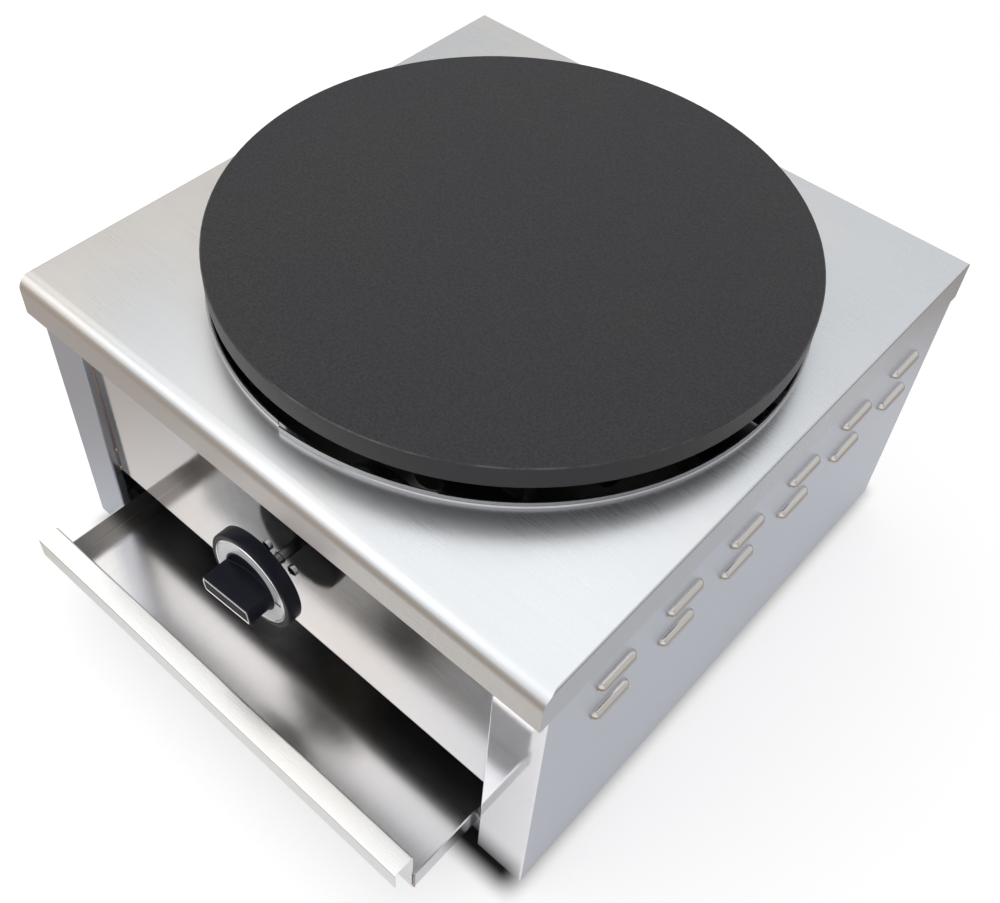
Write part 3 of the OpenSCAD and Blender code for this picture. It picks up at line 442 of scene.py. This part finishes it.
def panel_sheet():
    """Polished stainless sheet, its outer sides under a thin bluish foil; the left post carries the same
    darker bluish tone as painted shade.
    """
    material, steel = new_finish("panel_sheet")
    across = steel.axes()[0]
    outer = steel.rise(abs(steel.facing()[0]), 0.90, 0.97)
    # Bluish foil on the outer sides; on the left post's faces the same tone is painted shade.
    film_and_shade = outer + (1.0 - outer) * (1.0 - steel.rise(across, -0.01, 0.01))
    fine = steel.noise(steel.place((900.0, 30.0, 900.0)), 1.0, 2.0, 0.5)
    haze = steel.noise(steel.place(), 7.0, 4.0, 0.55)
    scratch = steel.noise(steel.place((900.0, 50.0, 900.0), (0.6, 0.2, 0.4)), 1.0, 1.0, 0.4)
    hair = steel.rise(scratch, 0.74, 0.80)
    bare = steel.tint(haze, colour(0.80, 0.79, 0.815), colour(0.85, 0.845, 0.865))
    filmed_and_shaded = steel.tint(haze, colour(0.462, 0.486, 0.545), colour(0.50, 0.520, 0.572))
    louvre = steel.tint(haze, colour(0.48, 0.465, 0.445), colour(0.52, 0.505, 0.485))
    pressed = steel.rise(abs(across), SIDE_FACE + 0.0001, SIDE_FACE + 0.0004)
    tone = steel.tint(film_and_shade, bare, filmed_and_shaded)
    tone = steel.tint(pressed, tone, louvre)
    tone = steel.tint(0.94 + (fine - 0.5) * 0.12, BLACK, tone)
    polish = 0.07 + (haze - 0.5) * 0.05 + hair * 0.06 + (fine - 0.5) * 0.03
    spread = polish + film_and_shade * 0.30 + pressed * 0.10
    normal = steel.bump(fine * 0.6 + haze * 0.4, 0.00005, 0.2)
    steel.surface({"Base Color": tone, "Metallic": 1.0, "Roughness": spread, "Normal": normal})
    return material


def drum_sheet():
    """Rolled sheet, bright outside, with soot inside and a little heat colour at the top edge."""
    material, steel = new_finish("drum_sheet")
    across, along, up = steel.axes()
    along = along - PLATE_Y
    radius = (across ** 2.0 + along ** 2.0) ** 0.5
    look_x, look_y, _ = steel.facing()
    inward = 0.0 - (look_x * across + look_y * along) / radius
    soot = steel.rise(inward, 0.2, 0.6)
    patch = steel.noise(steel.place(), 30.0, 4.0, 0.6)
    lay = steel.joined(along.angle_over(across) * 12.0, up * 1400.0, radius * 60.0)
    rolled = steel.noise(lay, 1.0, 2.0, 0.5)
    heat = steel.rise(up, COLLAR_TOP - 0.008, COLLAR_TOP + 0.001) * steel.rise(patch, 0.35, 0.7)
    bare = steel.tint(rolled, colour(0.36, 0.365, 0.385), colour(0.44, 0.445, 0.465))
    bare = steel.tint(heat * 0.35, bare, colour(0.36, 0.30, 0.24))
    black = steel.tint(patch, colour(0.012, 0.012, 0.012), colour(0.035, 0.031, 0.029))
    spread = 0.24 + (rolled - 0.5) * 0.08 + soot * (0.37 + patch * 0.2)
    normal = steel.bump(rolled, 0.00006, 0.5)
    steel.surface({"Base Color": steel.tint(soot, bare, black), "Metallic": 1.0 - soot * 0.9,
                   "Roughness": spread, "Normal": normal})
    return material


def plate_coat():
    """Matte dark coat on a cast plate: a fine pebble on top, a satin turned side and a thin rim with wear,
    lighter there, which is partly a painted highlight.
    """
    material, coat = new_finish("plate_coat")
    across, along, up = coat.axes()
    radius = (across ** 2.0 + (along - PLATE_Y) ** 2.0) ** 0.5
    side = 1.0 - coat.rise(abs(coat.facing()[2]), 0.3, 0.6)
    turning = coat.noise(coat.joined(radius * 60.0, 0.0, up * 1800.0), 1.0, 2.0, 0.6)
    pebble = coat.noise(coat.place(), 640.0, 3.0, 0.7)
    cloud = coat.noise(coat.place(), 6.0, 4.0, 0.55)
    grit = 1.0 - coat.rise(coat.specks(260.0), 0.05, 0.12)
    season = coat.rise(cloud, 0.42, 0.72)
    outermost = coat.rise(radius, PLATE_R - 0.0011, PLATE_R - 0.0006)
    topmost = coat.rise(up, PLATE_TOP - 0.0010, PLATE_TOP - 0.0005)
    rubbed = coat.rise(coat.noise(coat.place(), 40.0, 4.0, 0.6), 0.40, 0.65)
    # Wear along the rim's top edge; its lighter tone there is partly a painted highlight.
    worn_and_highlight = outermost * topmost * (0.3 + 0.7 * rubbed)
    tone = coat.tint(season, colour(0.0245, 0.0242, 0.0280), colour(0.0295, 0.0275, 0.0293))
    # The pebble's hollows are painted darker and its crests lighter: painted shade and a painted highlight.
    hollow, crest = coat.tint(0.5, BLACK, tone), coat.tint(0.013, tone, WHITE)
    tone = coat.tint(coat.rise(pebble, 0.3, 0.7), hollow, crest)
    tone = coat.tint(grit * 0.25, tone, colour(0.085, 0.08, 0.078))
    edge = coat.tint(turning, colour(0.043, 0.040, 0.044), colour(0.053, 0.049, 0.051))
    tone = coat.tint(side, tone, edge)
    tone = coat.tint(worn_and_highlight * 0.5, tone, colour(0.19, 0.18, 0.17))
    spread = 0.58 + (pebble - 0.5) * 0.25 - side * 0.18 - worn_and_highlight * 0.15
    normal = coat.bump(pebble * (1.0 - side) + grit * 0.5 + turning * side * 0.2, 0.00016, 0.8)
    coat.surface({"Base Color": tone, "Metallic": worn_and_highlight * 0.5, "Roughness": spread,
                  "Specular IOR Level": 0.28, "Normal": normal})
    return material


def moulded(name, base, roughness, specular):
    """Moulded plastic or rubber with a fine spark-eroded grain."""
    material, plastic = new_finish(name)
    grain = plastic.noise(plastic.place(), 2400.0, 3.0, 0.6)
    cloud = plastic.noise(plastic.place(), 70.0, 3.0, 0.5)
    tone = plastic.tint(cloud, colour(*base, 0.8), colour(*base, 1.2))
    spread = roughness + (cloud - 0.5) * 0.14 + (grain - 0.5) * 0.06
    normal = plastic.bump(grain, 0.00004, 0.5)
    plastic.surface({"Base Color": tone, "Roughness": spread, "Specular IOR Level": specular,
                     "Normal": normal})
    return material


def machined(name, base, roughness, dirt=0.86):
    """Metal with a fine machined or drawn surface."""
    material, metal = new_finish(name)
    fine = metal.noise(metal.place(), 1500.0, 3.0, 0.6)
    cloud = metal.noise(metal.place(), 60.0, 4.0, 0.55)
    tone = metal.tint(metal.rise(cloud, 0.3, 0.7), colour(*base, dirt), colour(*base))
    spread = roughness + (fine - 0.5) * 0.10 + (cloud - 0.5) * 0.16
    normal = metal.bump(fine, 0.00004, 0.3)
    metal.surface({"Base Color": tone, "Metallic": 1.0, "Roughness": spread, "Normal": normal})
    return material


def burnt_steel():
    """Burner steel with heat scale and straw and blue tints."""
    material, metal = new_finish("burnt_steel")
    scale = metal.noise(metal.place(), 420.0, 5.0, 0.65)
    cloud = metal.noise(metal.place(), 26.0, 4.0, 0.6)
    tone = metal.tint(metal.rise(cloud, 0.35, 0.65), colour(0.020, 0.019, 0.018), colour(0.040, 0.035, 0.031))
    tone = metal.tint(metal.rise(cloud, 0.62, 0.75) * 0.5, tone, colour(0.030, 0.032, 0.042))
    spread = 0.70 + (scale - 0.5) * 0.3
    normal = metal.bump(scale, 0.0002, 0.4)
    metal.surface({"Base Color": tone, "Metallic": 0.4, "Roughness": spread, "Normal": normal})
    return material


def dial_face():
    """Pale silver dial with a fine turned lay and one black index bar."""
    bar_turn, bar_middle = math.radians(3.0), 0.0264
    bar_end, bar_side = (0.0024, 0.0029), (0.0012, 0.0016)
    material, face = new_finish("dial_face")
    across, _, up = face.axes()
    up = up - TAP_Z
    radius = (across ** 2.0 + up ** 2.0) ** 0.5
    lay = face.noise(face.joined(radius * 4000.0, up.angle_over(across) * 6.0, 0.0), 1.0, 2.0, 0.5)
    out = across * math.cos(bar_turn) + up * math.sin(bar_turn)
    aside = up * math.cos(bar_turn) - across * math.sin(bar_turn)
    bar = (1.0 - face.rise(abs(out - bar_middle), *bar_end)) * (1.0 - face.rise(abs(aside), *bar_side))
    tone = face.tint(lay, colour(0.93, 0.935, 0.955), colour(0.96, 0.963, 0.975))
    tone = face.tint(bar, tone, colour(0.012, 0.012, 0.014))
    normal = face.bump(lay, 0.000003, 0.5)
    face.surface({"Base Color": tone, "Metallic": 0.2 - bar * 0.2, "Roughness": 0.33 + (lay - 0.5) * 0.1,
                  "Normal": normal})
    return material


def threaded_brass():
    """Machined brass whose free end at the back carries a pipe thread."""
    pitch, thread_start = 0.00181, (0.2322, 0.2328)
    material, metal = new_finish("threaded_brass")
    across, along, up = metal.axes()
    turn = (up - TAP_Z).angle_over(across - INLET_X) / (2.0 * math.pi)
    thread = ((along / pitch + turn) * (2.0 * math.pi)).sine()
    free = metal.rise(along, *thread_start)
    fine = metal.noise(metal.place(), 1500.0, 3.0, 0.6)
    cloud = metal.noise(metal.place(), 80.0, 4.0, 0.55)
    tone = metal.tint(cloud, colour(0.50, 0.36, 0.15), colour(0.66, 0.49, 0.22))
    tone = metal.tint(free * metal.rise(0.0 - thread, 0.2, 0.9) * 0.5, tone, colour(0.20, 0.14, 0.06))
    normal = metal.bump(thread * free * 0.5 + fine * 0.02, 0.0009, 0.8)
    spread = 0.26 + (fine - 0.5) * 0.12
    metal.surface({"Base Color": tone, "Metallic": 1.0, "Roughness": spread, "Normal": normal})
    return material


def weld_metal():
    """Bare weld: rippled, with straw, brown and blue heat colours."""
    material, metal = new_finish("weld_metal")
    ripple = metal.noise(metal.place(), 900.0, 3.0, 0.6)
    heat = metal.noise(metal.place(), 160.0, 3.0, 0.5)
    tone = metal.tint(metal.rise(heat, 0.35, 0.65), colour(0.42, 0.30, 0.22), colour(0.30, 0.26, 0.27))
    normal = metal.bump(ripple, 0.0002, 0.8)
    spread = 0.32 + (ripple - 0.5) * 0.2
    metal.surface({"Base Color": tone, "Metallic": 1.0, "Roughness": spread, "Normal": normal})
    return material


def give(material, *names):
    """Puts a finish in the slots of CAD nodes."""
    for name in names:
        for slot in nodes[name].material_slots:
            slot.material = material


# Pieces

# The knob in its own frame, in millimetres
SKIRT_R, SKIRT_BORE = 36.5, 4.2
SKIRT_TOP, BEAD_TOP = 10.5, 11.1
DIAL_SEAT = 9.7
DIAL_BORE, DIAL_R, BEAD_R = 22.6, 30.5, 32.5
WELL_R, WELL_FLOOR = 22.0, 5.0
MIDDLE_R, MIDDLE_FOOT = 22.5, 4.0
DISH = [(21.5, SKIRT_TOP), (19.0, 9.84), (16.0, 9.16), (12.0, 8.42), (8.0, 7.91), (4.0, 7.60),
        (0.0, 7.50)]
GRIP_R, GRIP_T, GRIP_TOP = 22.3, 13.0, 29.9
END_PLATE_R, END_PLATE_W, END_PLATE_T = 21.6, 11.4, 0.6
END_RIM_W, END_FIELD_STEP, END_FIELD_DEPTH = 0.7, 0.12, 0.2


def on_knob(shell, name, node, slot, *materials):
    """Puts a shell from the knob's own frame in its place, where it stands for a CAD node."""
    bmesh.ops.transform(shell, matrix=KNOB_FRAME, verts=shell.verts)
    piece = piece_from(shell, name, *materials)
    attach(piece, "knob")
    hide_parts(node)


def dished_grip():
    """The knob's middle with its dished top, and the grip that stands across it, as one skin."""
    middle = turned([(0.0, MIDDLE_FOOT), (MIDDLE_R, MIDDLE_FOOT), (MIDDLE_R, SKIRT_TOP)] + DISH)
    grip = bar_outline(GRIP_R, GRIP_T, WELL_FLOOR)
    raise_face(grip, grip.faces[:][0], GRIP_TOP - WELL_FLOOR)
    bmesh.ops.recalc_face_normals(grip, faces=grip.faces)
    take_in(middle, grip)
    return melted(middle, voxel=0.36, rounds=5)


def knob_skirt():
    """The knob's round skirt, with the seat of the dial and the well round its middle."""
    skirt = turned([(SKIRT_BORE, 0.0), (SKIRT_R, 0.0), (SKIRT_R, SKIRT_TOP), (BEAD_R, SKIRT_TOP),
                    (BEAD_R, DIAL_SEAT), (WELL_R, DIAL_SEAT), (WELL_R, WELL_FLOOR),
                    (SKIRT_BORE, WELL_FLOOR)], closed=True)
    round_rings(skirt, [(SKIRT_R, SKIRT_TOP)], width=1.2, segments=5)
    round_rings(skirt, [(SKIRT_R, 0.0)], width=0.6, segments=3)
    round_rings(skirt, [(BEAD_R, SKIRT_TOP)], width=0.25, segments=2)
    return skirt


def seated_ring(inner, outer, top, width, segments):
    """A flat ring on the dial's seat, with its two upper edges rounded."""
    ring = turned([(inner, DIAL_SEAT), (outer, DIAL_SEAT), (outer, top), (inner, top)], closed=True)
    round_rings(ring, [(inner, top), (outer, top)], width, segments)
    return ring


def end_plate():
    """The plate on the grip's end: a bright rim round a sunk field."""
    plate = bar_outline(END_PLATE_R, END_PLATE_W, GRIP_TOP)
    top = raise_face(plate, plate.faces[:][0], END_PLATE_T)
    for thickness, depth in ((END_RIM_W, 0.0), (END_FIELD_STEP, -END_FIELD_DEPTH)):
        bmesh.ops.inset_region(plate, faces=[top], thickness=thickness, depth=depth, use_even_offset=True)
    top.material_index = 1
    bmesh.ops.recalc_face_normals(plate, faces=plate.faces)
    return plate


def knob_pieces():
    """The moulded knob with its dial ring, bead and end plate."""
    black = moulded("knob_black", (0.0150, 0.0165, 0.0245), roughness=0.30, specular=0.08)
    field = moulded("end_plate_black", (0.008, 0.0085, 0.012), roughness=0.30, specular=0.02)
    bead = machined("bead_chrome", (0.72, 0.72, 0.73), roughness=0.07)
    rim = machined("end_plate_rim", (0.62, 0.62, 0.64), roughness=0.22)

    body = dished_grip()
    take_in(body, knob_skirt())
    on_knob(body, "knob_moulding", "knob_body", "knob_plastic", black)
    dial = seated_ring(DIAL_BORE, DIAL_R, SKIRT_TOP, width=0.2, segments=3)
    on_knob(dial, "dial", "dial_ring", "dial_silver", dial_face())
    bezel = seated_ring(DIAL_R, BEAD_R, BEAD_TOP, width=0.85, segments=6)
    on_knob(bezel, "dial_bead", "dial_bezel", "dial_chrome", bead)
    on_knob(end_plate(), "grip_end_plate", "knob_end_plate", "end_plate_metal", rim, field)


def riding(piece, body):
    """Makes a piece that stands for no CAD node move with a body."""
    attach(piece, body)


def bead_line(foot, length, radius, pitch):
    """A rippled weld bead that stands on its foot and runs up, closed at its ends and hollow between."""
    ripple = 1.18
    shell = bmesh.new()
    bmesh.ops.create_circle(shell, cap_ends=True, segments=10, radius=radius,
                            matrix=Matrix.Translation(foot))
    face = shell.faces[:][0]
    centre = Matrix.Translation(Vector((foot[0], foot[1], 0.0)))
    for step in range(round(length / pitch)):
        below, face = face, raise_face(shell, face, pitch)
        if step:
            bmesh.ops.delete(shell, geom=[below], context="FACES_ONLY")
        swell = ripple if step % 2 else 1.0 / ripple
        bmesh.ops.scale(shell, vec=(swell, swell, 1.0), space=centre.inverted(), verts=face.verts)
    bmesh.ops.recalc_face_normals(shell, faces=shell.faces)
    return shell


def weld_tack(place):
    """A flattened drop of weld."""
    drop_r, flattened = 0.0021, (0.75, 0.5, 1.0)
    drop = bmesh.new()
    bmesh.ops.create_icosphere(drop, subdivisions=3, radius=drop_r)
    bmesh.ops.scale(drop, vec=flattened, verts=drop.verts)
    bmesh.ops.translate(drop, vec=place, verts=drop.verts)
    return drop


def seam_welds():
    """Beads in the front panel's two inner corners, with tacks, and at the drawer's front corners."""
    metal = weld_metal()
    pitch = 0.0011
    seam_r, seam_length = 0.0007, 0.1430
    corner_r, corner_length = 0.0008, 0.0176
    post_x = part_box("right_side_panel")[0][0]
    _, panel_y, panel_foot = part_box("front_panel")[0]
    (_, tray_y, tray_foot), (tray_x, _, _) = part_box("drawer_tray")
    for side, word in ((-1.0, "left"), (1.0, "right")):
        foot = (side * (post_x - 0.0003), panel_y - 0.0003, panel_foot + 0.0015)
        shell = bead_line(foot, seam_length, seam_r, pitch)
        for up in (0.0235, 0.0035):
            take_in(shell, weld_tack((side * (post_x - 0.0011), panel_y - 0.0002, panel_foot + up)))
        riding(piece_from(shell, "panel_seam_" + word, metal, sharp=60.0), "cabinet")
        foot = (side * (tray_x - 0.0004), tray_y, tray_foot + 0.0009)
        shell = bead_line(foot, corner_length, corner_r, pitch)
        riding(piece_from(shell, "drawer_corner_weld_" + word, metal, sharp=60.0), "drawer")


def collar_lap(steel):
    """The lapped end of the collar's strip, which springs out a little at the joint."""
    start, reach, fade = -91.0, 30.0, 29.0
    tucked, sprung = 0.9945, 0.0160
    thick, tall = 0.0008, 0.0044
    section = (Matrix.Translation((DRUM_R + 0.0006, 0.0, COLLAR_TOP - 0.0016))
               @ Matrix.Rotation(math.pi / 2.0, 4, "X") @ Matrix.Diagonal((thick, tall, 1.0, 1.0)))
    shell = bmesh.new()
    bmesh.ops.create_grid(shell, x_segments=1, y_segments=4, size=0.5, matrix=section)
    bmesh.ops.rotate(shell, cent=(0, 0, 0), matrix=Matrix.Rotation(math.radians(start), 3, "Z"),
                     verts=shell.verts)
    bmesh.ops.spin(shell, geom=shell.faces[:], cent=(0, 0, 0), axis=(0, 0, 1), angle=math.radians(reach),
                   steps=40)
    for vert in shell.verts:
        turn = math.degrees(math.atan2(vert.co.y, vert.co.x)) - start
        out = tucked + sprung * max(0.0, 1.0 - turn / fade) ** 2.0
        vert.co.x *= out
        vert.co.y *= out
    bmesh.ops.translate(shell, vec=(0.0, PLATE_Y, 0.0), verts=shell.verts)
    bmesh.ops.recalc_face_normals(shell, faces=shell.faces)
    riding(piece_from(shell, "collar_lap", steel), "cabinet")


def collar_foot(steel):
    """The fillet at the collar's foot; its section is in millimetres out of the drum and over the cover."""
    section = ((-0.2, -0.4), (0.8, -0.4), (0.8, 0.1), (0.4, 0.4), (0.1, 0.9), (-0.2, 0.9))
    shell = turned([(DRUM_R + out * MM, COVER_TOP + up * MM) for out, up in section], closed=True, steps=180)
    bmesh.ops.translate(shell, vec=(0.0, PLATE_Y, 0.0), verts=shell.verts)
    riding(piece_from(shell, "collar_foot", steel), "cabinet")


def tap_coil(wire_metal):
    """The coil spring between the stem and the plug."""
    low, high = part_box("tap_spring")
    wire_r, turns = 0.0005, 4
    coil_r = (high[0] - low[0]) / 2.0 - wire_r
    length = high[1] - low[1]
    steps = turns * 32
    upright = Matrix.Rotation(math.pi / 2.0, 4, "X")
    shell = bmesh.new()
    bmesh.ops.create_circle(shell, cap_ends=True, segments=10, radius=wire_r,
                            matrix=Matrix.Translation((coil_r, 0.0, wire_r)) @ upright)
    bmesh.ops.spin(shell, geom=shell.faces[:], cent=(0, 0, 0), axis=(0, 0, 1), angle=turns * 2.0 * math.pi,
                   steps=steps, dvec=(0.0, 0.0, (length - 2.0 * wire_r) / steps))
    place = Matrix.Translation((0.0, high[1], TAP_Z)) @ upright
    bmesh.ops.transform(shell, matrix=place, verts=shell.verts)
    bmesh.ops.recalc_face_normals(shell, faces=shell.faces)
    spring = piece_from(shell, "tap_coil", wire_metal, sharp=60.0)
    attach(spring, "tap_rotor")
    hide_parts("tap_spring")
    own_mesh(spring)


photo_camera()
studio_air()
studio_floor()
soft_panel("overhead_panel", place=(-0.45, 0.2, 2.2), target=(0.0, 0.0, 0.25), wide=2.4, deep=2.4, power=16.5)
soft_panel("left_panel", place=(-1.05, -1.5, 1.85), target=(0.0, -0.1, 0.1), wide=1.6, deep=1.6, power=7.0)

# The cover's ends colour is painted shade on its side skirts, and its fronts colour a painted warm reflection
# on its flange.
give(brushed_sheet("cover_sheet", warm=(0.625, 0.607, 0.575), cool=(0.57, 0.588, 0.605), roughness=0.30,
                   grain=0.10, ends=(0.40, 0.41, 0.435), fronts=(0.57, 0.54, 0.51), shine=0.84),
     "top_cover")
give(brushed_sheet("front_sheet", warm=(0.63, 0.605, 0.585), cool=(0.60, 0.605, 0.62), roughness=0.085,
                   grain=0.15), "front_panel", "back_panel")
# The drawer tray's back, inside the cabinet, gets the dark, brown, dull painted shade.
give(brushed_sheet("tray_sheet", warm=(0.62, 0.605, 0.595), cool=(0.60, 0.605, 0.62), roughness=0.20,
                   grain=0.3, lay=ALONG_Y, end_lay=ALONG_Y, painted_shade_span=(-0.18, -0.08)), "drawer_tray")
give(brushed_sheet("strip_sheet", warm=(0.76, 0.755, 0.725), cool=(0.74, 0.745, 0.745), roughness=0.28,
                   grain=0.12), "drawer_front", "front_rail", "rear_rail", "left_runner", "right_runner")
give(panel_sheet(), "left_side_panel", "right_side_panel")
drum_steel = drum_sheet()
give(drum_steel, "burner_drum", "drum_strap")
give(machined("frame_bar", (0.20, 0.195, 0.19), roughness=0.48), "front_cross_bar", "rear_cross_bar")
give(burnt_steel(), "burner_hub", "burner_arms", "burner_bracket", "pillar_front_left",
     "pillar_front_right", "pillar_rear_left", "pillar_rear_right")
# Plated fasteners toned dark: a painted reflection of dark surroundings.
give(machined("plated_steel", (0.34, 0.34, 0.35), roughness=0.10), "back_screws", "foot_screws",
     "foot_nuts", "pillar_nuts", "burner_bolts", "tap_screws")
give(plate_coat(), "cooking_plate")
give(machined("soft_alloy", (0.60, 0.60, 0.61), roughness=0.40), "mixing_tube", "air_shutter", "supply_pipe")
give(machined("tap_brass", (0.60, 0.44, 0.19), roughness=0.28, dirt=0.75), "injector", "tap_body",
     "tap_bonnet", "tap_plug", "pipe_nuts", "inlet_locknut")
give(threaded_brass(), "inlet_connector")
# The tap stem's very dark tone is painted shade behind the knob.
give(machined("ground_steel", (0.13, 0.13, 0.135), roughness=0.22), "tap_stem")
give(moulded("foot_rubber", (0.020, 0.020, 0.020), roughness=0.75, specular=0.3), "foot_front_left",
     "foot_front_right", "foot_rear_left", "foot_rear_right")

knob_pieces()
tap_coil(machined("spring_wire", (0.40, 0.40, 0.41), roughness=0.30))
collar_lap(drum_steel)
collar_foot(drum_steel)
seam_welds()

bpy.context.scene.view_settings.view_transform = "Standard"
